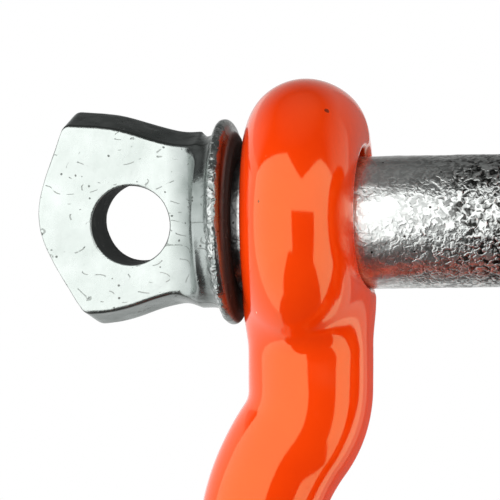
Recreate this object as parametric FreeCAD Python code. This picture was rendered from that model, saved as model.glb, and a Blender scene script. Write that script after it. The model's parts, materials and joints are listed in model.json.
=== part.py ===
import FreeCAD, Part
import math
import os

# Screw pin bow shackle: a forged bow with a plain ear (-X) and a tapped ear (+X), and the forged
# screw pin that closes it. Millimetres, +Z up. The origin is on the pin's axis, midway between
# the ears. The pin lies along X, and the bow hangs below it in the XZ plane.

Vector = FreeCAD.Vector
X_AXIS, Y_AXIS, Z_AXIS = Vector(1, 0, 0), Vector(0, 1, 0), Vector(0, 0, 1)

# Bow
JAW = 31.8                  # clear width between the two ears
EAR_THICKNESS = 21.0        # along the pin
EAR_RIM_RADIUS = 10.5       # the rim is full round, half the thickness
EAR_DIAMETER = 47.4
PLAIN_HOLE = 23.8           # clearance hole for the shank
PLAIN_EAR_RISE = 0.7        # the pin rests low in the plain hole, so this ear sits higher
HOLE_CHAMFER = 0.8
CUT_PAST = 3.0              # how far a cutting shape stands out past what it cuts
BAR_DIAMETER = 20.4
LEG_CENTRE = 26.2           # centre line of a leg, from the middle of the jaw
LEG_TOP = -8.0              # inside the ear
FLARE_TOP = -28.0           # where a leg starts to bend outward
CROWN_CENTRE = -57.1
CROWN_RADIUS = 35.5         # centre line of the crown

# Pin
SHANK = 22.2
COLLAR_GAP = 0.8            # left between collar and ear, before the last quarter turn
COLLAR_DIAMETER = 34.6
COLLAR_LENGTH = 3.4         # the rounded bead next to the ear
COLLAR_EDGE = 0.3           # the bead's own edges, in from its face, and then
COLLAR_SHOULDER = 0.9       # down from its rim
COLLAR_FALL = 0.7           # from there to the face's edge
COLLAR_CREST = 2.0          # from the face to where the collar is widest
COLLAR_BACK = 0.5           # how far the bead has fallen where it runs into the cove
COVE_LENGTH = 3.4           # from the bead back to the straight neck
COVE_REACH = 2.2            # a point on the cove, along from the neck
COVE_RISE = 0.7             # and up from it
NECK_STRAIGHT = 1.6
NECK_FLARE = 0.5            # how much wider the neck gets inside the tab
NECK_DIAMETER = 29.0
NECK_LENGTH = 6.2           # from the collar's face to where the neck is cut away to the tab
TAB_LENGTH = 34.6           # from the collar's face to the far end of the tab
TAB_THICKNESS = 12.7
TAB_HEIGHT = 35.6           # at the far end, on the parting plane
TAB_RISE = 1.1              # the tab is forged a little above the pin's axis
TAB_BULGE = 6.2             # how far its end stands out beyond its corners
TAB_CORNER = 2.4
TAB_TAPER = 1.3             # how much each edge falls before the waist
TAB_FOOT = 10.4             # from the collar's face to where the edges meet the neck
TAB_WAIST = 7.1             # the edges run down to the neck over this length
TAB_DRAFT = 2.2             # how much each side of the tab draws in from parting plane to face
TAB_FILLET = 4.6            # hollow from the tab's face up to the neck
EYE_HOLE = 13.2
EYE_FROM_COLLAR = 17.8
EYE_CHAMFER = 0.5
HEAD_TURN = 7.0             # degrees that the tab stands out of the bow's plane at rest

# Thread, 7/8 in, nine turns to the inch
PITCH = 25.4 / 9
THREAD_DEPTH = 0.6134 * PITCH
THREAD_CREST = PITCH / 8
THREAD_CLEARANCE = 0.1      # radial, between the pin's crests and the tapped ear
SHANK_END = 14.9
THREAD_START = 16.6         # a plain neck at root diameter lies between shank and thread
PIN_TIP = 38.4
TIP_CHAMFER = 1.6
TIP_NECK = 0.4              # plain length between the last crest and the chamfer
TIP_DROP = 1.0              # how much the chamfer falls

# Derived places
EAR_INNER = JAW / 2
EAR_OUTER = EAR_INNER + EAR_THICKNESS
EAR_MIDDLE = EAR_INNER + EAR_THICKNESS / 2
COLLAR_FACE = -(EAR_OUTER + COLLAR_GAP)
EYE_X = COLLAR_FACE - EYE_FROM_COLLAR


def point(x, z, y=0.0):
    return Vector(x, y, z)


def line(a, b):
    return Part.makeLine(a, b)


def arc(a, through, b):
    return Part.Arc(a, through, b).toShape()


def revolved(edges):
    """A solid of revolution about the X axis from an outline in the XZ plane."""
    return Part.Face(Part.Wire(edges)).revolve(Vector(0, 0, 0), X_AXIS, 360)


def prism(edges, low, high, axis):
    """An outline moved to low along an axis and extruded to high."""
    face = Part.Face(Part.Wire(edges))
    face.translate(axis * low)
    return face.extrude(axis * (high - low))


def closed_outline(corners):
    """Straight edges joining corners in turn, back to the first."""
    return [line(a, b) for a, b in zip(corners, corners[1:] + corners[:1])]


# --- bow ------------------------------------------------------------------------------------

def flare_radius():
    """Radius of the outward bend that is tangent to the leg and to the crown."""
    drop = FLARE_TOP - CROWN_CENTRE
    return (drop ** 2 + LEG_CENTRE ** 2 - CROWN_RADIUS ** 2) / (2 * (CROWN_RADIUS - LEG_CENTRE))


def flare_angle():
    """How far the leg turns outward from straight down, in degrees."""
    drop = FLARE_TOP - CROWN_CENTRE
    return math.degrees(math.asin(drop / (CROWN_RADIUS + flare_radius())))


def bar_round(place):
    """The bar's round section where the bar runs along Z."""
    return Part.Face(Part.Wire(Part.makeCircle(BAR_DIAMETER / 2, place, Z_AXIS)))


def left_leg():
    """Straight down from the ear, then round the outward bend."""
    bend = flare_radius()
    foot = point(-LEG_CENTRE, FLARE_TOP)
    straight = bar_round(foot).extrude(Z_AXIS * (LEG_TOP - FLARE_TOP))
    outward = bar_round(foot).revolve(point(-LEG_CENTRE - bend, FLARE_TOP), Y_AXIS, flare_angle())
    return straight.fuse(outward)


def crown():
    """The round of the bow between the two outward bends."""
    turn = flare_angle()
    start = bar_round(point(-CROWN_RADIUS, CROWN_CENTRE))
    middle = point(0, CROWN_CENTRE)
    start.rotate(middle, Y_AXIS, turn)
    return start.revolve(middle, Y_AXIS, -180 - 2 * turn)


def mirrored(shape):
    """The same shape on the other side of the YZ plane."""
    return shape.mirror(Vector(0, 0, 0), X_AXIS)


def ear(middle, rise):
    """A thick disc on the pin's axis, with a full round rim."""
    t = EAR_THICKNESS / 2
    flat = EAR_DIAMETER / 2 - EAR_RIM_RADIUS
    outline = [
        line(point(-t, 0), point(-t, flat)),
        arc(point(-t, flat), point(0, EAR_DIAMETER / 2), point(t, flat)),
        line(point(t, flat), point(t, 0)),
        line(point(t, 0), point(-t, 0)),
    ]
    disc = revolved(outline)
    disc.translate(point(middle, rise))
    return disc


def plain_hole():
    """The clearance hole through the left ear, chamfered at both faces."""
    r, c, reach = PLAIN_HOLE / 2, HOLE_CHAMFER, CUT_PAST
    inner, outer = -EAR_INNER, -EAR_OUTER
    corners = [
        point(outer - reach, 0), point(outer - reach, r + c), point(outer, r + c),
        point(outer + c, r), point(inner - c, r), point(inner, r + c),
        point(inner + reach, r + c), point(inner + reach, 0),
    ]
    hole = revolved(closed_outline(corners))
    hole.translate(point(0, PLAIN_EAR_RISE))
    return hole


def thread_outline(start, end, root, crest):
    """The crests and roots of the thread between two places on X, as a turned outline.

    Each pitch is a ring here. The screw motion is in the pin's two joints.
    """
    corners = []
    half_crest = THREAD_CREST / 2
    flank = (crest - root) * math.tan(math.radians(30))
    count = int((end - start - 2 * (half_crest + flank)) / PITCH) + 1
    for turn in range(count):
        middle = start + half_crest + flank + turn * PITCH
        corners += [
            point(middle - half_crest - flank, root), point(middle - half_crest, crest),
            point(middle + half_crest, crest), point(middle + half_crest + flank, root),
        ]
    return corners


def tapped_hole():
    """The bore of the right ear, clear of the pin's crests, countersunk at both faces."""
    r, c, reach = SHANK / 2 + THREAD_CLEARANCE, HOLE_CHAMFER, CUT_PAST
    corners = [
        point(EAR_INNER - reach, 0), point(EAR_INNER - reach, r + c), point(EAR_INNER, r + c),
        point(EAR_INNER + c, r), point(EAR_OUTER - c, r), point(EAR_OUTER, r + c),
        point(EAR_OUTER + reach, r + c), point(EAR_OUTER + reach, 0),
    ]
    return revolved(closed_outline(corners))


def make_bow():
    leg = left_leg()
    bar = crown().fuse([leg, mirrored(leg)])
    body = bar.fuse([ear(-EAR_MIDDLE, PLAIN_EAR_RISE), ear(EAR_MIDDLE, 0)])
    return body.cut([plain_hole(), tapped_hole()])


# --- pin ------------------------------------------------------------------------------------

def tab_half(side, inset):
    """Half of the fan: from its far end, round a corner and along the edge to the neck."""
    far = COLLAR_FACE - TAB_LENGTH + inset
    edge = TAB_RISE + side * (TAB_HEIGHT / 2 - inset)
    near = COLLAR_FACE - TAB_FOOT
    r = TAB_CORNER

    def on_end(deep, high):
        """A place on the far end: a share of the bulge's depth, and of the half height."""
        return point(far + deep * TAB_BULGE, TAB_RISE + high * (edge - TAB_RISE))

    def by_corner(along, down):
        """A place by the corner: so many corner radii towards the neck, and in from the edge."""
        return point(far + TAB_BULGE + along * r, edge - side * down * r)

    bulge, between, cheek = on_end(0, 0), on_end(0.15, 0.38), on_end(0.55, 0.72)
    corner, middle, start = by_corner(-0.3, 1), by_corner(0.3, 0.28), by_corner(1.2, 0)
    waist = point(near - TAB_WAIST, edge - side * TAB_TAPER)
    foot = point(near, side * (NECK_DIAMETER / 2 - inset))
    return [
        arc(bulge, between, cheek), line(cheek, corner), arc(corner, middle, start),
        line(start, waist), line(waist, foot),
    ]


def tab_outline(inset):
    """The tab seen along Y: a fan with a bulging end. Inset draws it in for the draft."""
    near = COLLAR_FACE - TAB_FOOT
    foot = NECK_DIAMETER / 2 - inset
    edges = tab_half(1, inset) + [line(point(near, foot), point(near, -foot))]
    return Part.Wire(Part.__sortEdges__(edges + tab_half(-1, inset)))


def tab():
    """A plate on the XZ plane, drafted from its parting plane towards both faces."""
    half = TAB_THICKNESS / 2
    middle = tab_outline(0)
    sides = []
    for y in (-half, half):
        face = tab_outline(TAB_DRAFT)
        face.translate(Y_AXIS * y)
        sides.append(Part.makeLoft([middle, face], True, True))
    return sides[0].fuse(sides[1])


def neck_and_collar():
    """The turned part of the head, from the tab's root to the collar's face."""
    face = COLLAR_FACE
    neck, rim = NECK_DIAMETER / 2, COLLAR_DIAMETER / 2
    left = face - NECK_LENGTH - TAB_FILLET
    waist = point(face - COLLAR_LENGTH - COVE_LENGTH, neck)
    straight = point(waist.x - NECK_STRAIGHT, neck)
    flare = point(left, neck + NECK_FLARE)
    cove = point(waist.x + COVE_REACH, neck + COVE_RISE)
    back = point(face - COLLAR_LENGTH, rim - COLLAR_BACK)
    crest = point(face - COLLAR_CREST, rim)
    shoulder = point(face - COLLAR_EDGE, rim - COLLAR_SHOULDER)
    front = point(face, rim - COLLAR_SHOULDER - COLLAR_FALL)
    edges = [
        line(point(left, 0), flare), line(flare, straight), line(straight, waist),
        arc(waist, cove, back), arc(back, crest, shoulder), line(shoulder, front),
        line(front, point(face, 0)), line(point(face, 0), point(left, 0)),
    ]
    return revolved(edges)


def tab_hollow(side):
    """What is cut off the neck so that it runs down to one face of the tab."""
    t, r = TAB_THICKNESS / 2, TAB_FILLET
    deep = NECK_DIAMETER
    root = COLLAR_FACE - NECK_LENGTH
    left = COLLAR_FACE - TAB_LENGTH
    a = math.radians(45)
    near = Vector(root, side * (t + r), 0)
    low = Vector(root - r, side * t, 0)
    middle = Vector(root - r + r * math.sin(a), side * (t + r - r * math.cos(a)), 0)
    edges = [
        line(Vector(left, side * t, 0), low),
        arc(low, middle, near),
        line(near, Vector(root, side * deep, 0)),
        line(Vector(root, side * deep, 0), Vector(left, side * deep, 0)),
        line(Vector(left, side * deep, 0), Vector(left, side * t, 0)),
    ]
    return prism(edges, -deep, deep, Z_AXIS)


def eye_hole():
    """The hole for a bar or for locking wire, chamfered on both faces of the tab."""
    half = TAB_THICKNESS / 2
    r, c, past = EYE_HOLE / 2, EYE_CHAMFER, half + CUT_PAST
    corners = [
        Vector(0, -past, 0), Vector(r + c, -past, 0), Vector(r + c, -half, 0),
        Vector(r, -half + c, 0), Vector(r, half - c, 0), Vector(r + c, half, 0),
        Vector(r + c, past, 0), Vector(0, past, 0),
    ]
    hole = Part.Face(Part.Wire(closed_outline(corners))).revolve(Vector(0, 0, 0), Y_AXIS, 360)
    hole.translate(Vector(EYE_X, 0, 0))
    return hole


def make_pin_head():
    neck = neck_and_collar().cut(tab_hollow(1)).cut(tab_hollow(-1))
    head = neck.fuse(tab()).cut(eye_hole()).removeSplitter()
    head.rotate(Vector(0, 0, 0), X_AXIS, HEAD_TURN)
    return head


def make_pin_shank():
    return Part.makeCylinder(SHANK / 2, SHANK_END - COLLAR_FACE, point(COLLAR_FACE, 0), X_AXIS)


def make_pin_thread():
    root, crest = SHANK / 2 - THREAD_DEPTH, SHANK / 2
    corners = [point(SHANK_END, 0), point(SHANK_END, root)]
    corners += thread_outline(THREAD_START, PIN_TIP - TIP_CHAMFER, root, crest)
    corners += [point(PIN_TIP - TIP_CHAMFER + TIP_NECK, root), point(PIN_TIP, root - TIP_DROP)]
    corners += [point(PIN_TIP, 0)]
    return revolved(closed_outline(corners))


os.makedirs("parts", exist_ok=True)
NODES = {
    "bow": make_bow,
    "pin_shank": make_pin_shank,
    "pin_head": make_pin_head,
    "pin_thread": make_pin_thread,
}
for name, make in NODES.items():
    shape = make()
    solids = shape.Solids
    print(name, "solids", len(solids), "valid", shape.isValid(), "volume", round(shape.Volume))
    if len(solids) == 1:
        shape = solids[0]
    shape.exportStep("parts/" + name + ".step")
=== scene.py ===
# %% [markdown]
# A screw pin bow shackle: an orange forged bow, and the galvanised pin that closes it.
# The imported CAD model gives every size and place. This script gives the two forgings the soft
# edges, draft, blends and coatings that a drop forging and a zinc bath leave behind.

# %% Load the frame
import json
import math
import bpy
import numpy as np
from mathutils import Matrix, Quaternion, Vector


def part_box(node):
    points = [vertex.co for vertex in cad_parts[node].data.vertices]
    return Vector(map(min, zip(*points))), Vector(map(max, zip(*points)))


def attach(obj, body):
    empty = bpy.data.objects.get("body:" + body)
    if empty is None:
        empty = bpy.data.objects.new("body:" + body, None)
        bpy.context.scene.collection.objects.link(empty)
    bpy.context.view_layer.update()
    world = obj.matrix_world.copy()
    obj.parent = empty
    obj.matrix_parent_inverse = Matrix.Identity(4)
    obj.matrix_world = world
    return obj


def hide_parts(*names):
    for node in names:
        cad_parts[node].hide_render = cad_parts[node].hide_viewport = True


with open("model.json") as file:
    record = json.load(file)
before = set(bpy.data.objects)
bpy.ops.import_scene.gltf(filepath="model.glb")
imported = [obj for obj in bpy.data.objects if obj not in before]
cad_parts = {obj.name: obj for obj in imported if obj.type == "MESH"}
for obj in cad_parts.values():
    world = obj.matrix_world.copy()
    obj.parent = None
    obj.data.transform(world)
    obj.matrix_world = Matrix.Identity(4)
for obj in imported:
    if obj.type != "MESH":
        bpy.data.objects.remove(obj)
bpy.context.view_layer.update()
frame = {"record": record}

record = frame["record"]
mounts = {mount["name"]: mount for mount in record["mounts"]}
MM = 0.001

# %% [markdown]
# The main sizes come from the CAD nodes' boxes and from the mounts. Everything below works in
# millimetres and turns into metres only when a mesh is made, because forging sizes read
# best that way.

# %% Read the sizes
def box_mm(node):
    """The lowest and highest corners of a CAD node, in millimetres."""
    low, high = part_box(node)
    return [v / MM for v in low], [v / MM for v in high]


bow_low, bow_high = box_mm("bow")
head_low, head_high = box_mm("pin_head")
thread_low, thread_high = box_mm("pin_thread")

JAW = mounts["jaw_pin"]["dims"]["length_mm"]
SHANK_R = mounts["jaw_pin"]["dims"]["r_mm"]
BAR_R = mounts["crown_saddle"]["dims"]["r_mm"]
EYE_R = mounts["tab_eye"]["dims"]["r_mm"]
EYE_X = mounts["tab_eye"]["pos_m"][0] / MM
EAR_R = (bow_high[1] - bow_low[1]) / 2
EAR_RISE = bow_high[2] - EAR_R
COLLAR_FACE = head_high[0]
TIP_X = thread_high[0]
THREAD_X = thread_low[0]
eye_axis = mounts["tab_eye"]["axis"]
HEAD_TURN = math.atan2(-eye_axis[2], -eye_axis[1])
print("jaw", JAW, "ear radius", round(EAR_R, 2), "head turn", round(math.degrees(HEAD_TURN), 1))

# %% [markdown]
# A drop forging has no sharp corner and no seam between one form and the next. Booleans with
# bevels would leave pinched reflections where the ear meets the leg. So each forging
# is written as a field instead: a formula that is negative inside the metal and zero on its skin.
# Two forms blend through a smooth minimum, and a hole is taken out with a smooth maximum.

# %% Field helpers
def smooth_min(a, b, reach):
    """The lower of two fields, rounded over where they are within reach of each other."""
    h = np.clip(0.5 + 0.5 * (b - a) / reach, 0, 1)
    return b + (a - b) * h - reach * h * (1 - h)


def smooth_max(a, b, reach):
    """The higher of two fields, rounded over in the same way."""
    return -smooth_min(-a, -b, reach)


def smooth_step(t):
    """From 0 to 1 with a level start and a level end."""
    t = np.clip(t, 0, 1)
    return t * t * (3 - 2 * t)


def ripple(p, seed, wavelength, count=14):
    """Soft irregular undulation between about -1 and 1: a sum of waves in random directions."""
    rng = np.random.default_rng(seed)
    total = np.zeros(p.shape[:-1])
    for _ in range(count):
        direction = rng.normal(size=3)
        direction /= np.linalg.norm(direction)
        pace = 2 * np.pi / (wavelength * rng.uniform(0.7, 1.5))
        total += np.sin(p @ direction * pace + rng.uniform(0, 2 * np.pi))
    return total / math.sqrt(count)


bulge = -smooth_min(np.array(0.0), np.array(0.0), 2.0)
print("a blend with a reach of 2 mm bulges by", round(float(bulge), 2), "mm where the forms cross")

# %% [markdown]
# A point near the skin is brought onto it by sliding it along the field's slope. Moving each point
# to the middle of its neighbours first evens out the faces, which a grid leaves long and short.

# %% Slope, sliding and evening out
def slope(field, p, step=0.02):
    """The field's gradient at each point, by small differences."""
    out = np.empty_like(p)
    for axis in range(3):
        shift = np.zeros(3)
        shift[axis] = step
        out[..., axis] = (field(p + shift) - field(p - shift)) / (2 * step)
    return out


def settle(field, p, cell, rounds):
    """Moves points onto the skin."""
    for _ in range(rounds):
        g = slope(field, p)
        move = field(p)[:, None] * g / np.maximum((g * g).sum(1), 0.05)[:, None]
        p = p - np.clip(move, -cell / 2, cell / 2)
    return p


def relax(p, quads):
    """Moves each point to the middle of its neighbours, to even out the faces."""
    total = np.zeros_like(p)
    count = np.zeros(len(p))
    for a, b in ((0, 1), (1, 2), (2, 3), (3, 0)):
        for one, other in ((quads[:, a], quads[:, b]), (quads[:, b], quads[:, a])):
            np.add.at(total, one, p[other])
            np.add.at(count, one, 1)
    return total / np.maximum(count, 1)[:, None]


# %% [markdown]
# The skin of a field is found on a grid of small cells: each cell that the skin crosses gets one
# vertex, and each grid edge that it crosses gets one face. The vertices are then slid
# until they lie exactly on the skin, so that a glossy coat on it reflects without facets.

# %% From field to mesh
def skin(field, low, high, cell):
    """Points and four-sided faces of a field's zero surface inside a box."""
    axes = [np.arange(a - 2 * cell, b + 3 * cell, cell) for a, b in zip(low, high)]
    grid = np.stack(np.meshgrid(*axes, indexing="ij"), -1)
    inside = field(grid) < 0
    n = [len(a) - 1 for a in axes]
    corners = sum(
        inside[i:i + n[0], j:j + n[1], k:k + n[2]].astype(int)
        for i in (0, 1) for j in (0, 1) for k in (0, 1))
    crossed = (corners > 0) & (corners < 8)
    index = np.full(crossed.shape, -1)
    index[crossed] = np.arange(crossed.sum())
    p = grid[:-1, :-1, :-1][crossed] + cell / 2
    quads = []
    for axis in range(3):
        first = np.moveaxis(inside, axis, 0)
        cells = np.moveaxis(index, axis, 0)
        here, there = first[:-1, 1:-1, 1:-1], first[1:, 1:-1, 1:-1]
        ring = np.stack(
            [cells[:, :-1, :-1], cells[:, 1:, :-1], cells[:, 1:, 1:], cells[:, :-1, 1:]], -1)
        if axis == 1:
            ring = ring[..., ::-1]
        quads.append(ring[here & ~there])
        quads.append(ring[~here & there][:, ::-1])
    quads = np.concatenate(quads)
    p = settle(field, p, cell, 4)
    for _ in range(5):
        p = settle(field, relax(p, quads), cell, 2)
    return settle(field, p, cell, 4), quads


# %% [markdown]
# A piece made from a field takes its shading normals from the field's slope. They are smoother
# than normals averaged from the faces, and a soft panel of light then shows a clean edge.

# %% From mesh to piece
def add_piece(name, points, faces, normals=None):
    """A mesh object from points in millimetres, smooth shaded."""
    mesh = bpy.data.meshes.new(name)
    mesh.from_pydata((np.asarray(points) * MM).tolist(), [], [list(f) for f in faces])
    mesh.shade_smooth()
    if normals is not None:
        mesh.normals_split_custom_set_from_vertices(normals.tolist())
    piece = bpy.data.objects.new(name, mesh)
    bpy.context.scene.collection.objects.link(piece)
    print(name, "points", len(points), "faces", len(faces))
    return piece


def field_piece(name, field, low, high, cell):
    """A piece from a field, with the field's own slope as its shading normals."""
    points, quads = skin(field, low, high, cell)
    g = slope(field, points)
    return add_piece(name, points, quads.tolist(), g / np.linalg.norm(g, axis=1)[:, None])


# %% [markdown]
# The bow is one round bar. Each leg drops straight from its ear, turns outward, and runs into the
# crown. Its centre line is a line and two arcs that touch smoothly, so the distance to
# it is the least of three plain distances. The bar tapers a little towards the crown and keeps
# the faint rib along its middle plane where the two dies met.

# %% The bow's bar
LEG_X = 26.05           # a leg's centre line from the middle of the jaw
FLARE_TOP = -28.0       # where the leg starts to turn outward
LEG_BAR = 10.45
CROWN_BAR = 9.85
TAPER_FROM = -16.0      # the bar thins from here down
TAPER_OVER = 50.0
RIB = 0.14              # height of the rib where the dies met, and how wide it is
RIB_WIDE = 1.1
CROWN_R = bow_high[0] - BAR_R
CROWN_Z = bow_low[2] + bow_high[0]
drop = FLARE_TOP - CROWN_Z
BEND_R = (drop ** 2 + LEG_X ** 2 - CROWN_R ** 2) / (2 * (CROWN_R - LEG_X))
BEND_TURN = math.asin(drop / (CROWN_R + BEND_R))
print("outward bend: radius", round(BEND_R, 1), "turn", round(math.degrees(BEND_TURN), 1))


def arc_distance(x, z, cx, cz, radius, middle, half_turn):
    """Distance in the bow's plane to an arc about (cx, cz), held to its own sector."""
    angle = np.arctan2(z - cz, x - cx) - middle
    angle = (angle + np.pi) % (2 * np.pi) - np.pi
    held = np.clip(angle, -half_turn, half_turn) + middle
    return np.hypot(x - cx - radius * np.cos(held), z - cz - radius * np.sin(held))


def bar_field(p):
    """The bow's bar: how far its centre line is, less the bar's radius there."""
    x, y, z = np.abs(p[..., 0]), p[..., 1], p[..., 2]
    leg = np.hypot(x - LEG_X, z - np.clip(z, FLARE_TOP, 0))
    bend = arc_distance(x, z, LEG_X + BEND_R, FLARE_TOP, BEND_R,
                        np.pi + BEND_TURN / 2, BEND_TURN / 2)
    crown_half = (BEND_TURN + np.pi / 2) / 2
    crown = arc_distance(x, z, 0, CROWN_Z, CROWN_R, BEND_TURN - crown_half, crown_half)
    away = np.minimum(np.minimum(leg, bend), crown)
    taper = smooth_step((TAPER_FROM - z) / TAPER_OVER)
    rib = RIB * np.exp(-(y / RIB_WIDE) ** 2)
    return np.hypot(away, y) - (LEG_BAR + (CROWN_BAR - LEG_BAR) * taper) - rib


# %% [markdown]
# An ear is a thick disc round the pin with a full round rim. Its side faces lean in towards the
# front and back, because a forging needs draft to leave its die. The
# plain ear stands a little higher than the pin, since the pin rests on the bottom of its hole.

# %% The ears and the whole bow
EAR_HALF = 10.5         # half the ear's thickness, and the radius of its rim
EAR_DRAFT = 0.075       # how much thinner per millimetre from the middle plane
EAR_X = JAW / 2 + EAR_HALF
PLAIN_HOLE_R = 11.9
TAPPED_HOLE_R = 11.35
SHOULDER = 3.0          # reach of the blend between ear and leg
LIP = 1.5               # rounding of the coated edge of each hole
FLAT_TO = 17.5          # the ears are true this far from the pin's axis, for the collar to bear on
EASE = 0.4              # how fast room opens past the ear's face, away from that
UNEVEN = 0.05           # height of the forging's slow unevenness,
UNEVEN_OVER = 6.0       # and how far past that it takes to grow
ELSEWHERE = -50.0       # a field value so deep that it changes nothing


def ear_field(p, side, rise):
    """One ear, a disc with a round rim. side is -1 or 1, and rise is its height over the pin."""
    x, y, z = p[..., 0] - side * EAR_X, p[..., 1], p[..., 2] - rise
    out = np.maximum(np.hypot(y, z) - (EAR_R - EAR_HALF), 0)
    lean = EAR_HALF / (EAR_HALF - EAR_DRAFT * np.abs(y))
    return np.hypot(x * lean, out) - EAR_HALF


def hole_field(p, radius, rise):
    """Negative outside a round hole along the pin."""
    return radius - np.hypot(p[..., 1], p[..., 2] - rise)


def bow_field(p):
    """The whole bow, with both ears drilled."""
    x = p[..., 0]
    metal = bar_field(p)
    for side, rise, radius in ((-1, EAR_RISE, PLAIN_HOLE_R), (1, 0.0, TAPPED_HOLE_R)):
        metal = smooth_min(metal, ear_field(p, side, rise), SHOULDER)
        beyond = np.where(x * side > 0, hole_field(p, radius, rise), ELSEWHERE)
        metal = smooth_max(metal, beyond, LIP)
    past_flat = np.maximum(np.hypot(p[..., 1], p[..., 2]) - FLAT_TO, 0)
    metal = metal - UNEVEN * smooth_step(past_flat / UNEVEN_OVER) * ripple(p, seed=11, wavelength=13.0)
    return smooth_max(metal, np.abs(x) - EAR_X - EAR_HALF - EASE * past_flat, 0.2)


bow = field_piece("bow_forging", bow_field, bow_low, bow_high, 0.6)
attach(bow, "bow")
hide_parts("bow")

# %% [markdown]
# The pin's head is a flat tab with an eye, a short round neck and a collar. The tab is a fan:
# it widens away from the neck and ends in a blunt nose. Its top and bottom slope back from
# the middle plane to both faces, and each face runs up to the neck in a hollow.

# %% The tab and its hollow
TAB_HALF = 6.35         # half the tab's thickness
TAB_RISE = 1.45         # the tab sits a little above the pin's axis,
EYE_RISE = 0.5          # and so does its eye
TAB_END = head_low[0] + 1.0
TAB_END_RISE = 1.1      # height of the nose at its far end
CHEEK_SLOPE = 0.56      # the far end is a blunt wedge: how far the cheeks slope back,
NOSE = 3.5              # how round the nose between them is,
NOSE_TILT = 0.10        # and how much the nose is tipped up
TAB_DRAFT = 2.4         # how far top and bottom draw in from the middle plane to the face
TAB_CORNER = 1.0        # softness of the corners at its far end
TAB_RIDGE = 0.15        # softness of the ridge along the middle plane
NECK_R = 14.4
NECK_RISE = 0.5
NECK_ROOT = COLLAR_FACE - 6.2
HOLLOW_R = 4.6
HOLLOW_DEPTH = 0.4      # how far the hollow's floor lies below the tab's face
FAN_ROOT = NECK_R + 0.1 # half the tab's height at the neck,
FAN_FROM = 1.5          # how far past the neck's root it starts to grow,
FAN_OVER = 16.0         # over what length,
FAN_FLARE = 3.4         # by how much,
FAN_SPREAD = 0.06       # and how fast it goes on growing after that
EDGE = 0.55             # softness that the zinc leaves on an edge
print("tab from", round(TAB_END, 1), "to", round(NECK_ROOT, 1), "mm along the pin")


def fan_height(x):
    """Half the tab's height along the pin: wide at its end, narrow at the neck."""
    flare = smooth_step((NECK_ROOT - FAN_FROM - x) / FAN_OVER)
    return FAN_ROOT + FAN_FLARE * flare + FAN_SPREAD * np.maximum(NECK_ROOT - FAN_OVER - x, 0)


def tab_field(x, y, z):
    """The tab: its top and bottom, its blunt end, and its two flat faces."""
    draft = TAB_DRAFT / TAB_HALF
    edge = np.abs(z - TAB_RISE) - fan_height(x) + np.sqrt(y * y + TAB_RIDGE) * draft
    up = z - TAB_END_RISE
    end_x = TAB_END + np.sqrt(NOSE ** 2 + (CHEEK_SLOPE * up) ** 2) - NOSE - NOSE_TILT * up
    end = (end_x - x) / math.hypot(1, CHEEK_SLOPE)
    outline = smooth_max(edge / math.hypot(1, draft), end, TAB_CORNER)
    outline = smooth_max(outline, x - NECK_ROOT, 0.5)
    return smooth_max(np.abs(y) - TAB_HALF, outline, EDGE)


def hollow_field(x, y):
    """Negative in the metal that is left under the hollow between a face and the neck."""
    floor_y = TAB_HALF - HOLLOW_DEPTH
    centre_x, centre_y = NECK_ROOT - HOLLOW_R, floor_y + HOLLOW_R
    y = np.abs(y)
    curve = HOLLOW_R - np.hypot(x - centre_x, y - centre_y)
    level = np.where(x < centre_x, y - floor_y, curve)
    return np.where(y > centre_y, np.where(x < centre_x, y - floor_y, NECK_ROOT - x), level)


# %% [markdown]
# The collar is a round flange that bears on the ear. Dipping leaves the pin with lumps of zinc
# where the bath ran together and froze, above all in the corner between neck and
# collar, so the field gets a rough ripple there and only a faint one on the tab.

# %% The whole head
RIM_R = 1.1             # the collar's rounded rim
RIM_RING = 16.2
RIM_X = COLLAR_FACE - 2.0
RIM_LEAN = 0.03         # the rim was forged a little out of square
RIM_BLEND = 2.4         # reach of the blend between collar and neck
FACE_SLOPE = 1.6        # how fast the collar narrows from its rim to the ear
NECK_MIDDLE = NECK_ROOT - 1.2
NECK_HALF = 6.2         # half the neck's length, with what runs on inside tab and collar
NECK_THINNING = 0.4     # how fast the neck thins where it dies away inside the tab
TAB_BLEND = 0.8
EYE_EDGE = 0.5
CRUST_X = NECK_ROOT + 3.5
CRUST_WIDE = 0.7        # the rough band's width along the pin, and its place and height on the neck
CRUST_Z = -3.0
CRUST_TALL = 9.0
LUMPS = 0.38            # height of the frozen zinc in that band,
WAVES = 0.035           # and of the faint unevenness all over


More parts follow.
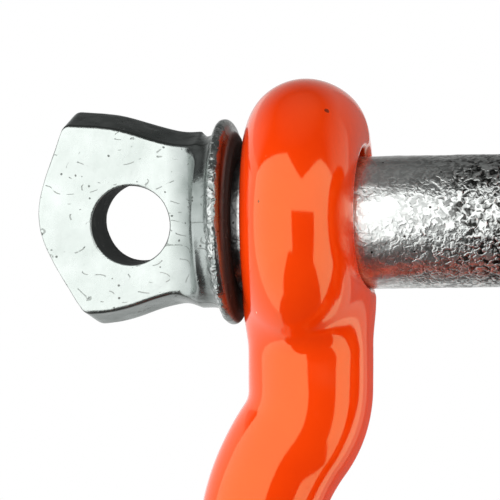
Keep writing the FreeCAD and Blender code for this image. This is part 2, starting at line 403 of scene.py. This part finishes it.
def head_field(p):
    """The head in the pin's frame, with the tab turned as it is at rest."""
    c, s = math.cos(HEAD_TURN), math.sin(HEAD_TURN)
    x = p[..., 0]
    y = c * p[..., 1] + s * p[..., 2]
    z = -s * p[..., 1] + c * p[..., 2]
    radius = np.hypot(y, z - NECK_RISE)
    thinned = NECK_THINNING * np.maximum(NECK_ROOT - 0.5 - x, 0)
    neck = np.maximum(radius - NECK_R + thinned, np.abs(x - NECK_MIDDLE) - NECK_HALF)
    neck = smooth_max(neck, hollow_field(x, y), EDGE)
    metal = smooth_min(neck, tab_field(x, y, z), TAB_BLEND)
    past_rim = x - RIM_X + RIM_LEAN * z
    collar = np.hypot(np.maximum(radius - RIM_RING, 0), past_rim) - RIM_R
    metal = smooth_min(metal, collar, RIM_BLEND)
    cone = (radius - RIM_RING - RIM_R + FACE_SLOPE * past_rim) / math.hypot(1, FACE_SLOPE)
    cone = np.maximum(np.maximum(cone, x - COLLAR_FACE), -0.3 - past_rim)
    metal = smooth_min(metal, np.maximum(cone, radius - RIM_RING - 0.6 * RIM_R), 0.5)
    metal = smooth_max(metal, EYE_R - np.hypot(x - EYE_X, z - EYE_RISE), EYE_EDGE)
    crust = np.exp(-((x - CRUST_X) / CRUST_WIDE) ** 2 - ((z - CRUST_Z) / CRUST_TALL) ** 2)
    lumps = LUMPS * crust * np.maximum(ripple(p, seed=5, wavelength=2.3), -0.3)
    metal = metal - lumps - WAVES * ripple(p, seed=7, wavelength=7.0)
    return np.maximum(metal, x - COLLAR_FACE + 0.03)


head = field_piece("pin_head_forging", head_field, head_low, head_high,
                   0.36)
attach(head, "pin")
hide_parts("pin_head")

# %% [markdown]
# The shank and thread are turned, so they are a tube of rings. The thread is a true right hand
# helix: the radius at a point depends on how far along the pin it is, less one pitch
# for each turn round it. Rings stand closer together on the thread, so its flanks stay crisp.

# %% The shank and its thread
PITCH = 25.4 / 9
DEPTH = 0.6134 * PITCH  # of a sixty degree thread with its crest and root cut flat
FLANK = math.radians(30)
CREST_HALF = PITCH / 16
SPOKES = 192


def thread_height(x, angle):
    """From 0 at the root to 1 at the crest, for a sixty degree thread with flat tops."""
    phase = (x / PITCH - angle / (2 * np.pi)) % 1.0
    from_crest = np.abs(phase - 0.5) * PITCH
    return np.clip(1 - (from_crest - CREST_HALF) / (DEPTH * math.tan(FLANK)), 0, 1)


def tube(name, rows, radius_at, closed=False):
    """A skin of rings about X. rows are places along it, radius_at gives radii by angle."""
    angles = np.arange(SPOKES) * 2 * np.pi / SPOKES
    points = []
    for row in rows:
        x, r = radius_at(row, angles)
        points.append(np.stack([np.full(SPOKES, x), r * np.cos(angles), r * np.sin(angles)], 1))
    points = np.concatenate(points)
    count = len(rows)
    faces = []
    for i in range(count if closed else count - 1):
        a, b = i * SPOKES, (i + 1) % count * SPOKES
        for j in range(SPOKES):
            k = (j + 1) % SPOKES
            faces.append((a + j, b + j, b + k, a + k))
    if not closed:
        faces.append(tuple(range(SPOKES)))
        faces.append(tuple(range((count - 1) * SPOKES, count * SPOKES))[::-1])
    return add_piece(name, points, faces)


ROOT_R = SHANK_R - DEPTH
THREAD_START = THREAD_X + 1.7
THREAD_RUN_IN = 2.0
SHANK_CHAMFER = 0.6
TIP_CHAMFER = 1.6
TIP_DROP = DEPTH + 0.4  # how far the chamfer at the tip comes in
DIMPLE = 0.035          # depth of the unevenness that the zinc leaves on the shank


def pin_bar_ring(x, angles):
    """One ring of the shank, the relief or the thread."""
    ring = np.stack([np.full(SPOKES, x), SHANK_R * np.cos(angles), SHANK_R * np.sin(angles)], 1)
    rough = DIMPLE * ripple(ring, seed=21, wavelength=3.2)
    if x <= THREAD_X:
        edge = max(0.0, x - (THREAD_X - SHANK_CHAMFER))
        return x, SHANK_R - edge + rough
    r = np.full(SPOKES, ROOT_R)
    if x > THREAD_START:
        run_in = min(1.0, (x - THREAD_START) / THREAD_RUN_IN)
        r = r + DEPTH * run_in * thread_height(x, angles)
    limit = SHANK_R - max(0.0, x - (TIP_X - TIP_CHAMFER)) * TIP_DROP / TIP_CHAMFER
    return x, np.minimum(r, limit) + 0.3 * rough


shank_rows = np.linspace(COLLAR_FACE - 0.6, THREAD_X, 150)
relief_rows = np.linspace(THREAD_X + 0.05, THREAD_START, 8)
thread_rows = np.linspace(THREAD_START + 0.1, TIP_X, 150)
pin_bar = tube("pin_bar", np.concatenate([shank_rows, relief_rows, thread_rows]), pin_bar_ring)
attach(pin_bar, "pin")
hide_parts("pin_shank", "pin_thread")

# %% [markdown]
# The tapped ear holds the matching thread. It is a ring of its own here, a hair wider than the
# pin's thread all over, because cutting a fine helix out of the bow's grid would
# need cells ten times smaller. It is cut after coating, so it shows bare metal.

# %% The tapped ear's thread
CLEARANCE = 0.12
TAP_INSET = 1.0         # how far inside the ear's faces the thread starts and ends
TAP_RUN_OUT = 1.2
TAP_WALL = 0.5          # how far its back reaches into the ear
inner_rows = np.linspace(JAW / 2 + TAP_INSET, JAW / 2 + 2 * EAR_HALF - TAP_INSET, 140)
tapped_rows = [(x, "thread") for x in inner_rows]
tapped_rows += [(x, "wall") for x in inner_rows[::-12]]


def tapped_ring(row, angles):
    """One ring of the ear's thread, or of the plain back that closes it."""
    x, kind = row
    if kind == "wall":
        return x, np.full(SPOKES, TAPPED_HOLE_R + TAP_WALL)
    ends = min(x - inner_rows[0], inner_rows[-1] - x)
    run_out = max(0.0, 1 - ends / TAP_RUN_OUT) * (TAPPED_HOLE_R - ROOT_R)
    return x, np.maximum(ROOT_R + CLEARANCE + DEPTH * thread_height(x, angles),
                         ROOT_R + CLEARANCE + run_out)


tapped = tube("tapped_thread", tapped_rows, tapped_ring, closed=True)
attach(tapped, "bow")

# %% [markdown]
# The finishes are built from shader nodes, with nothing painted by hand. Three effects serve
# more than one finish, so each is a node group made once: specks, scratches and mottling. They
# read the object's own coordinates, so they stay put on the metal when the pin turns.

# %% Shader node helpers
def add(tree, kind, inputs=(), **settings):
    """A shader node. inputs holds a value or another node's socket for each input's name."""
    made = tree.nodes.new(kind)
    for key, value in settings.items():
        setattr(made, key, value)
    for key, value in dict(inputs).items():
        if isinstance(value, bpy.types.NodeSocket):
            tree.links.new(value, made.inputs[key])
        else:
            made.inputs[key].default_value = value
    return made


def maths(tree, operation, a, b=0.0):
    """One step of arithmetic on values that change over the surface."""
    return add(tree, "ShaderNodeMath", {0: a, 1: b}, operation=operation).outputs[0]


def spread(tree, value, low, high):
    """Stretches values between low and high over 0 to 1, held at both ends."""
    return add(tree, "ShaderNodeMapRange",
               {"Value": value, "From Min": low, "From Max": high}).outputs["Result"]


def noise(tree, coordinates, scale, detail=3.0, **settings):
    """Smooth random values, about 0.5 on average."""
    return add(tree, "ShaderNodeTexNoise",
               {"Vector": coordinates, "Scale": scale, "Detail": detail}, **settings).outputs[0]


def tint(tree, factor, one, other):
    """A colour between two, by factor."""
    mix = add(tree, "ShaderNodeMix", {"Factor": factor}, data_type="RGBA")
    for socket, value in ((mix.inputs[6], one), (mix.inputs[7], other)):
        if isinstance(value, bpy.types.NodeSocket):
            tree.links.new(value, socket)
        else:
            socket.default_value = (*value, 1.0)
    return mix.outputs[2]


# %% [markdown]
# A node group is made once, with named sockets for what may differ between finishes. Placing it
# in a material costs one node there, and a change to the effect then shows in every finish.

# %% Node group helpers
def effect(name, outputs, **inputs):
    """An empty node group with its sockets. Returns its tree, its inputs and its output node."""
    tree = bpy.data.node_groups.new(name, "ShaderNodeTree")
    for key, value in inputs.items():
        socket = tree.interface.new_socket(key, in_out="INPUT", socket_type="NodeSocketFloat")
        socket.default_value = value
    for key in outputs:
        tree.interface.new_socket(key, in_out="OUTPUT", socket_type="NodeSocketFloat")
    return tree, tree.nodes.new("NodeGroupInput").outputs, tree.nodes.new("NodeGroupOutput")


def use(tree, group, output, **inputs):
    """One output of a node group, placed in a tree with these input values."""
    made = tree.nodes.new("ShaderNodeGroup")
    made.node_tree = group
    for key, value in inputs.items():
        made.inputs[key].default_value = value
    return made.outputs[output]


def coordinates(tree):
    """The object's own coordinates, in metres, which move with it."""
    return tree.nodes.new("ShaderNodeTexCoord").outputs["Object"]


# %% [markdown]
# Specks are dust on the enamel and pinholes in the zinc. A Voronoi pattern gives one small
# round spot for each cell, and the cell's random colour decides which few of them show.

# %% Effect: specks
specks, given, out = effect("specks", ["Mask"], Scale=400.0, Kept=0.1, Size=0.2)
at = coordinates(specks)
wobble = add(specks, "ShaderNodeTexNoise", {"Vector": at, "Scale": 900.0})
bent = add(specks, "ShaderNodeVectorMath",
           {0: wobble.outputs["Color"], 1: (0.0004, 0.0004, 0.0004)}, operation="MULTIPLY")
bent = add(specks, "ShaderNodeVectorMath", {0: at, 1: bent.outputs[0]}, operation="ADD")
cells = add(specks, "ShaderNodeTexVoronoi",
            {"Vector": bent.outputs[0], "Scale": given["Scale"]})
draw = add(specks, "ShaderNodeSeparateColor", {"Color": cells.outputs["Color"]})
chosen = maths(specks, "LESS_THAN", draw.outputs["Red"], given["Kept"])
close = maths(specks, "LESS_THAN", cells.outputs["Distance"], given["Size"])
specks.links.new(maths(specks, "MULTIPLY", chosen, close), out.inputs["Mask"])
print("made", specks.name)

# %% [markdown]
# Scratches are thin, short and mostly straight. A noise stretched hard along one slanting
# direction makes long streaks, the thin line where it passes its middle value is
# a scratch, and a second noise breaks it into short lengths.

# %% Effect: scratches
scratches, given, out = effect("scratches", ["Mask"], Scale=160.0, Width=0.004, Lean=0.9)
turn = add(scratches, "ShaderNodeCombineXYZ", {"Y": given["Lean"]})
turned = add(scratches, "ShaderNodeMapping",
             {"Vector": coordinates(scratches), "Rotation": turn.outputs[0],
              "Scale": (0.45, 1.0, 1.0)})
streak = add(scratches, "ShaderNodeTexNoise",
             {"Vector": turned.outputs[0], "Scale": given["Scale"], "Detail": 0.0}).outputs[0]
line = maths(scratches, "ABSOLUTE", maths(scratches, "SUBTRACT", streak, 0.5))
line = maths(scratches, "LESS_THAN", line, given["Width"])
broken = spread(scratches, noise(scratches, coordinates(scratches), 620.0, 1.0), 0.55, 0.58)
scratches.links.new(maths(scratches, "MULTIPLY", line, broken), out.inputs["Mask"])
print("made", scratches.name)

# %% [markdown]
# Hot dipped zinc freezes in wormy patches less than a millimetre wide. A noise that is bent by
# itself and then pushed hard to both ends has that shape: winding bright crests, dark hollows.

# %% Effect: mottling
mottle, given, out = effect("mottle", ["Height"], Scale=1000.0)
worms = add(mottle, "ShaderNodeTexNoise",
            {"Vector": coordinates(mottle), "Scale": given["Scale"], "Detail": 1.5,
             "Roughness": 0.4, "Distortion": 0.9})
mottle.links.new(spread(mottle, worms.outputs[0], 0.38, 0.62), out.inputs["Height"])
print("made", mottle.name)


# %% [markdown]
# The bow's enamel is a thick glossy orange. Its reflections are what show the shape, so
# it is smooth, with only a slight orange peel. The base layer reflects
# more strongly than plain paint, and warms the reflection a little.

# %% Finish: orange enamel
def finish_of(name):
    """A new material, its tree and its Principled node."""
    material = bpy.data.materials.new(name)
    material.use_nodes = True
    return material, material.node_tree, material.node_tree.nodes["Principled BSDF"]


enamel, tree, surface = finish_of("orange_enamel")
at = coordinates(tree)
patches = spread(tree, noise(tree, at, 60.0), 0.35, 0.7)
paint = tint(tree, patches, (0.95, 0.054, 0.001), (0.90, 0.044, 0.001))
dust = use(tree, specks, "Mask", Scale=190.0, Kept=0.16, Size=0.10)
pale_dust = use(tree, specks, "Mask", Scale=150.0, Kept=0.13, Size=0.07)
paint = tint(tree, dust, paint, (0.25, 0.02, 0.005))
paint = tint(tree, pale_dust, paint, (0.95, 0.45, 0.30))
tree.links.new(paint, surface.inputs["Base Color"])
gloss = add(tree, "ShaderNodeMapRange",
            {"Value": noise(tree, at, 45.0), "To Min": 0.05, "To Max": 0.13})
tree.links.new(gloss.outputs["Result"], surface.inputs["Roughness"])
surface.inputs["IOR"].default_value = 1.75
surface.inputs["Specular Tint"].default_value = (1.0, 1.0, 0.42, 1.0)
peel = noise(tree, at, 330.0, 1.0)
marks = use(tree, scratches, "Mask", Scale=120.0, Width=0.0025, Lean=1.1)
height = maths(tree, "ADD", maths(tree, "MULTIPLY", peel, 0.6), maths(tree, "MULTIPLY", dust, 0.5))
height = maths(tree, "SUBTRACT", height, maths(tree, "MULTIPLY", marks, 0.2))
bump = add(tree, "ShaderNodeBump", {"Height": height, "Strength": 0.35, "Distance": 0.00006})
tree.links.new(bump.outputs[0], surface.inputs["Normal"])
bow.data.materials.append(enamel)
print("finish", enamel.name)

# %% [markdown]
# The head's zinc is pale and fairly smooth, with a cool tint, pinholes and handling
# scratches. In the corner by the collar it is rougher, so the mottling comes up there.

# %% Places on the head
zinc, tree, surface = finish_of("zinc_head")
at = coordinates(tree)
squared = add(tree, "ShaderNodeMapping", {"Vector": at, "Rotation": (-HEAD_TURN, 0.0, 0.0)})
place = add(tree, "ShaderNodeSeparateXYZ", {"Vector": squared.outputs[0]}).outputs
crusty = maths(tree, "MULTIPLY",
               spread(tree, place["X"], (NECK_ROOT + 2.2) * MM, (NECK_ROOT + 3.2) * MM),
               spread(tree, place["X"], (RIM_X + 0.6) * MM, (RIM_X - 0.2) * MM))
# Painted shade: this marks the collar's face by the ear for darkening.
gap_shade = spread(tree, place["X"], (COLLAR_FACE - 1.0) * MM, (COLLAR_FACE - 0.5) * MM)
out_of_middle = maths(tree, "ABSOLUTE", place["Y"])
on_face = spread(tree, out_of_middle, (TAB_HALF - 0.30) * MM, (TAB_HALF - 0.15) * MM)
before_neck = spread(tree, place["X"], (NECK_ROOT - 1.8) * MM,
                     (NECK_ROOT - HOLLOW_R - 0.8) * MM)
pale = maths(tree, "MULTIPLY", on_face, before_neck)
from_eye = add(tree, "ShaderNodeCombineXYZ",
               {"X": maths(tree, "SUBTRACT", place["X"], EYE_X * MM),
                "Z": maths(tree, "SUBTRACT", place["Z"], EYE_RISE * MM)})
from_eye = add(tree, "ShaderNodeVectorMath", {0: from_eye.outputs[0]}, operation="LENGTH")
# Painted shade: this marks the wall of the eye for darkening.
eye_shade = spread(tree, from_eye.outputs["Value"], (EYE_R + 0.25) * MM, (EYE_R + 0.10) * MM)
eye_and_gap_shade = maths(tree, "MAXIMUM", eye_shade, gap_shade)
print("places marked on", zinc.name)

# %% [markdown]
# The colour starts cloudy, paler on the wiped faces. Painted shade darkens the edges beside the faces,
# the wall of the eye and the gap to the ear, and pinholes and scuffs are dark dots and lines.

# %% Colour of the head's zinc
worms = use(tree, mottle, "Height", Scale=900.0)
cloud = spread(tree, noise(tree, at, 170.0, 6.0), 0.3, 0.7)
dull = tint(tree, cloud, (0.17, 0.195, 0.185), (0.33, 0.36, 0.35))
bright = tint(tree, cloud, (0.46, 0.505, 0.48), (0.55, 0.59, 0.57))
shade = tint(tree, pale, dull, bright)
# Painted shade: a dark band runs along the edges beside the faces, where their rounding would reflect
# the dark room.
edge_shade_band = spread(tree, out_of_middle, (TAB_HALF - 0.9) * MM, (TAB_HALF - 0.4) * MM)
off_face = maths(tree, "SUBTRACT", 1.0, on_face)
shade = tint(tree, maths(tree, "MULTIPLY", maths(tree, "MULTIPLY", edge_shade_band, off_face), 0.7),
             shade, (0.05, 0.055, 0.05))
shade = tint(tree, maths(tree, "MULTIPLY", worms, maths(tree, "MULTIPLY", crusty, 0.5)),
             shade, (0.80, 0.82, 0.81))
# Painted shade: the wall of the eye and the collar's face by the ear turn nearly black.
shade = tint(tree, eye_and_gap_shade, shade, (0.05, 0.055, 0.053))
pinholes = use(tree, specks, "Mask", Scale=850.0, Kept=0.16, Size=0.17)
scuffs = use(tree, scratches, "Mask", Scale=420.0, Width=0.014, Lean=0.9)
shade = tint(tree, maths(tree, "MULTIPLY", pinholes, 0.8), shade, (0.05, 0.055, 0.05))
shade = tint(tree, maths(tree, "MULTIPLY", scuffs, 0.6), shade, (0.12, 0.13, 0.12))
tree.links.new(shade, surface.inputs["Base Color"])
print("colour on", zinc.name)

# %% [markdown]
# The painted shade in the eye and the gap also turns the metallic look off and is duller, so it stays
# dark. The bump follows the same masks as the colour, so each dark dot is also a small dent.

# %% Grain of the head's zinc
tree.links.new(maths(tree, "SUBTRACT", 1.0, eye_and_gap_shade), surface.inputs["Metallic"])
surface.inputs["Specular IOR Level"].default_value = 0.15
grain = add(tree, "ShaderNodeMapRange",
            {"Value": noise(tree, at, 260.0, 4.0), "To Min": 0.18, "To Max": 0.38})
matt = maths(tree, "ADD", grain.outputs["Result"], maths(tree, "MULTIPLY", eye_and_gap_shade, 0.5))
tree.links.new(matt, surface.inputs["Roughness"])
height = maths(tree, "ADD", noise(tree, at, 420.0, 4.0),
               maths(tree, "MULTIPLY", worms, maths(tree, "MULTIPLY", crusty, 1.2)))
height = maths(tree, "SUBTRACT", height, maths(tree, "MULTIPLY", pinholes, 0.7))
height = maths(tree, "SUBTRACT", height, maths(tree, "MULTIPLY", scuffs, 0.4))
bump = add(tree, "ShaderNodeBump", {"Height": height, "Strength": 0.5, "Distance": 0.00022})
tree.links.new(bump.outputs[0], surface.inputs["Normal"])
head.data.materials.append(zinc)
print("finish", zinc.name)

# %% [markdown]
# The shank never gets wiped or machined, so it keeps the zinc's full mottling: dark
# hollows, bright ridges, and a patch near the plain ear that has been rubbed smoother.

# %% Finish: rough zinc on the shank
rough_zinc, tree, surface = finish_of("zinc_shank")
at = coordinates(tree)
along = add(tree, "ShaderNodeSeparateXYZ", {"Vector": at}).outputs["X"]
drift = maths(tree, "MULTIPLY", noise(tree, at, 70.0, 2.0), 0.030)
rough_part = spread(tree, maths(tree, "ADD", along, drift), 0.003, 0.018)
worms = use(tree, mottle, "Height", Scale=1150.0)
fine = noise(tree, at, 2600.0, 3.0)
crests = maths(tree, "ADD", maths(tree, "MULTIPLY", worms, 0.75),
               maths(tree, "MULTIPLY", fine, 0.3))
how_deep = maths(tree, "ADD", 0.30, maths(tree, "MULTIPLY", rough_part, 0.85))
deep = maths(tree, "MULTIPLY", maths(tree, "SUBTRACT", 1.0, crests), how_deep)
shade = tint(tree, deep, (0.80, 0.83, 0.81), (0.02, 0.02, 0.018))
shade = tint(tree, use(tree, specks, "Mask", Scale=700.0, Kept=0.14, Size=0.16),
             shade, (0.05, 0.045, 0.04))
# Painted shade: the shank inside the gap between the collar and the ear is darkened nearly to black.
gap_shade = spread(tree, along, (COLLAR_FACE + 1.3) * MM, (COLLAR_FACE + 0.9) * MM)
shade = tint(tree, maths(tree, "MULTIPLY", gap_shade, 0.85), shade, (0.03, 0.03, 0.03))
tree.links.new(shade, surface.inputs["Base Color"])
surface.inputs["Metallic"].default_value = 1.0
grain = add(tree, "ShaderNodeMapRange", {"Value": fine, "To Min": 0.22, "To Max": 0.42})
tree.links.new(grain.outputs["Result"], surface.inputs["Roughness"])
height = maths(tree, "MULTIPLY", crests, how_deep)
bump = add(tree, "ShaderNodeBump", {"Height": height, "Strength": 0.9, "Distance": 0.00012})
tree.links.new(bump.outputs[0], surface.inputs["Normal"])
pin_bar.data.materials.append(rough_zinc)
print("finish", rough_zinc.name)

# %% [markdown]
# The thread in the ear is cut after the coating, so it is bare steel with a film of oil:
# darker, with fine cutting lines round the hole.

# %% Finish: bare steel in the tapped ear
bare, tree, surface = finish_of("bare_steel")
at = coordinates(tree)
lines = add(tree, "ShaderNodeMapping", {"Vector": at, "Scale": (14.0, 1.0, 1.0)}).outputs[0]
cut = noise(tree, lines, 300.0, 3.0)
tree.links.new(tint(tree, cut, (0.20, 0.19, 0.18), (0.42, 0.41, 0.40)),
               surface.inputs["Base Color"])
surface.inputs["Metallic"].default_value = 1.0
grain = add(tree, "ShaderNodeMapRange", {"Value": cut, "To Min": 0.28, "To Max": 0.48})
tree.links.new(grain.outputs["Result"], surface.inputs["Roughness"])
bump = add(tree, "ShaderNodeBump", {"Height": cut, "Strength": 0.4, "Distance": 0.00005})
tree.links.new(bump.outputs[0], surface.inputs["Normal"])
tapped.data.materials.append(bare)
print("finish", bare.name)

# %% [markdown]
# The camera stands a little to the right and below the head, with a long lens, so the pin
# and the ear look almost flat on, while the underside of the tab just shows.

# %% Camera
camera_data = bpy.data.cameras.new("camera")
camera = bpy.data.objects.new("camera", camera_data)
bpy.context.scene.collection.objects.link(camera)
bpy.context.scene.camera = camera
camera_data.sensor_width = 36.0
camera_data.lens = 274.0
camera_data.clip_start, camera_data.clip_end = 0.01, 20.0
stand = Vector((68.0, -631.0, -45.0)) * MM
aim = Vector((-36.3, 0.0, -4.3)) * MM
ROLL = 0.0043
camera.location = stand
camera.rotation_mode = "QUATERNION"
level = (aim - stand).to_track_quat("-Z", "Y")
camera.rotation_quaternion = Quaternion((aim - stand).normalized(), ROLL) @ level
print("camera distance, mm:", round((aim - stand).length / MM))

# %% [markdown]
# The light is a ring of large soft panels, as in a light tent. A glossy bow shows each panel
# as a bright shape with a crisp edge, so their edges place the reflections. One wide panel in
# front reaches from eye level up, with a dip in its top edge. Below it two pairs, left and
# right, leave a dark gap, and two more stand far round on each side to light the edges.
# The panels are hidden from the camera, so they don't block it from any side.

# %% Light panels
CENTRE = (-25.0, 0.0, -20.0)
PANEL_ROWS = 12
PANEL_COLUMNS = 48


def emission(name, strength):
    """A material that only glows."""
    material, tree, _ = finish_of(name)
    tree.nodes.clear()
    glow = add(tree, "ShaderNodeEmission", {"Color": (1, 1, 1, 1), "Strength": strength})
    end = tree.nodes.new("ShaderNodeOutputMaterial")
    tree.links.new(glow.outputs[0], end.inputs["Surface"])
    return material


def panel(name, azimuths, elevations, strength, crest=None, foot=None, distance=1200.0):
    """A glowing piece of a sphere round the object. Azimuth 0 is in front, 90 on the right.

    crest gives the top edge's elevation for each azimuth, for a panel that isn't level.
    foot gives the azimuths at its bottom edge, for a panel with slanting sides.
    """
    azimuths = np.array(azimuths)
    foot = azimuths if foot is None else np.array(foot)
    points = []
    for u in np.linspace(0, 1, PANEL_ROWS + 1):
        for azimuth in np.linspace(*(foot + u * (azimuths - foot)), PANEL_COLUMNS + 1):
            top = elevations[1] if crest is None else crest(azimuth)
            a, e = np.radians(azimuth), np.radians(elevations[0] + u * (top - elevations[0]))
            points.append((CENTRE[0] + distance * math.sin(a) * math.cos(e),
                           CENTRE[1] - distance * math.cos(a) * math.cos(e),
                           CENTRE[2] + distance * math.sin(e)))
    across = PANEL_COLUMNS + 1
    corners = [i * across + j for i in range(PANEL_ROWS) for j in range(PANEL_COLUMNS)]
    faces = [(k, k + 1, k + across + 1, k + across) for k in corners]
    made = add_piece(name, points, faces)
    made.data.materials.append(emission(name, strength))
    made.visible_camera = False
    made.visible_shadow = False
    return made


EDGE_HEIGHT = 1.25      # of the front panel's top edge, as a share of its distance
EDGE_CURVE = 0.75       # how much the panel wraps round: 1 would be flat
DIP_AT = 30             # the dip in that edge: its place, depth and half width, in degrees
DIP_DEPTH = 20
DIP_HALF = 45


def level_edge(azimuth):
    """A level top edge, seen lower where it is further away, with a dip in it."""
    edge = math.degrees(math.atan(EDGE_HEIGHT * math.cos(math.radians(azimuth) * EDGE_CURVE)))
    return edge - DIP_DEPTH * max(0.0, 1 - abs(azimuth - DIP_AT) / DIP_HALF)


panel("panel_front", (-95, 122), (3, 45), 1.85, level_edge)
panel("panel_left_low", (-95, 4), (-28, 3), 1.85)
panel("panel_left_floor", (-95, -8), (-57, -28), 1.75, foot=(-95, -50))
panel("panel_right_low", (56, 122), (-28, 3), 1.85)
panel("panel_right_floor", (56, 122), (-55, -28), 1.75, foot=(105, 122))
panel("panel_right_far", (136, 170), (-60, 35), 0.3)
panel("panel_left_far", (-158, -95), (-60, 25), 0.9)

# %% [markdown]
# The background is white. The room behind the panels is dark, so the edges of the metal keep
# their contrast, and only a low band behind the object is white, as a backdrop would be.

# %% Background
world = bpy.data.worlds.new("studio")
bpy.context.scene.world = world
world.use_nodes = True
tree = world.node_tree
tree.nodes.clear()
direction = add(tree, "ShaderNodeSeparateXYZ",
                {"Vector": tree.nodes.new("ShaderNodeTexCoord").outputs["Generated"]})
behind = spread(tree, direction.outputs["Y"], 0.0, 0.25)
low_band = maths(tree, "MULTIPLY", spread(tree, direction.outputs["Z"], 0.80, 0.10),
                 spread(tree, direction.outputs["Z"], -0.92, -0.62))
ceiling = spread(tree, direction.outputs["Z"], 0.80, 1.0)
dark_room = tint(tree, ceiling, (0.05, 0.05, 0.05), (0.22, 0.22, 0.22))
room = tint(tree, maths(tree, "MULTIPLY", behind, low_band), dark_room, (0.9, 0.9, 0.9))
seen = tree.nodes.new("ShaderNodeLightPath").outputs["Is Camera Ray"]
backdrop = add(tree, "ShaderNodeBackground", {"Color": tint(tree, seen, room, (1, 1, 1))})
end = add(tree, "ShaderNodeOutputWorld", {"Surface": backdrop.outputs[0]})
bpy.context.scene.view_settings.view_transform = "Standard"
print("world", world.name)

# %% [markdown]
# The floor is plain, pale and matt. The camera sees it and the shadows on it, but
# it isn't in the reflections, where the low panels stand in for a lit table.

# %% Floor
FLOOR_HALF = 900.0
FLOOR_DROP = 0.5        # how far below the crown it lies
floor_z = bow_low[2] - FLOOR_DROP
square = ((-1, -1), (1, -1), (1, 1), (-1, 1))
floor = add_piece("floor", [(FLOOR_HALF * x, FLOOR_HALF * y, floor_z) for x, y in square],
                  [(0, 1, 2, 3)])
paper, tree, surface = finish_of("pale_paper")
tree.links.new(tint(tree, noise(tree, coordinates(tree), 30.0), (0.86, 0.86, 0.86),
                    (0.90, 0.90, 0.90)), surface.inputs["Base Color"])
surface.inputs["Roughness"].default_value = 0.9
floor.data.materials.append(paper)
floor.visible_glossy = floor.visible_diffuse = floor.visible_shadow = False
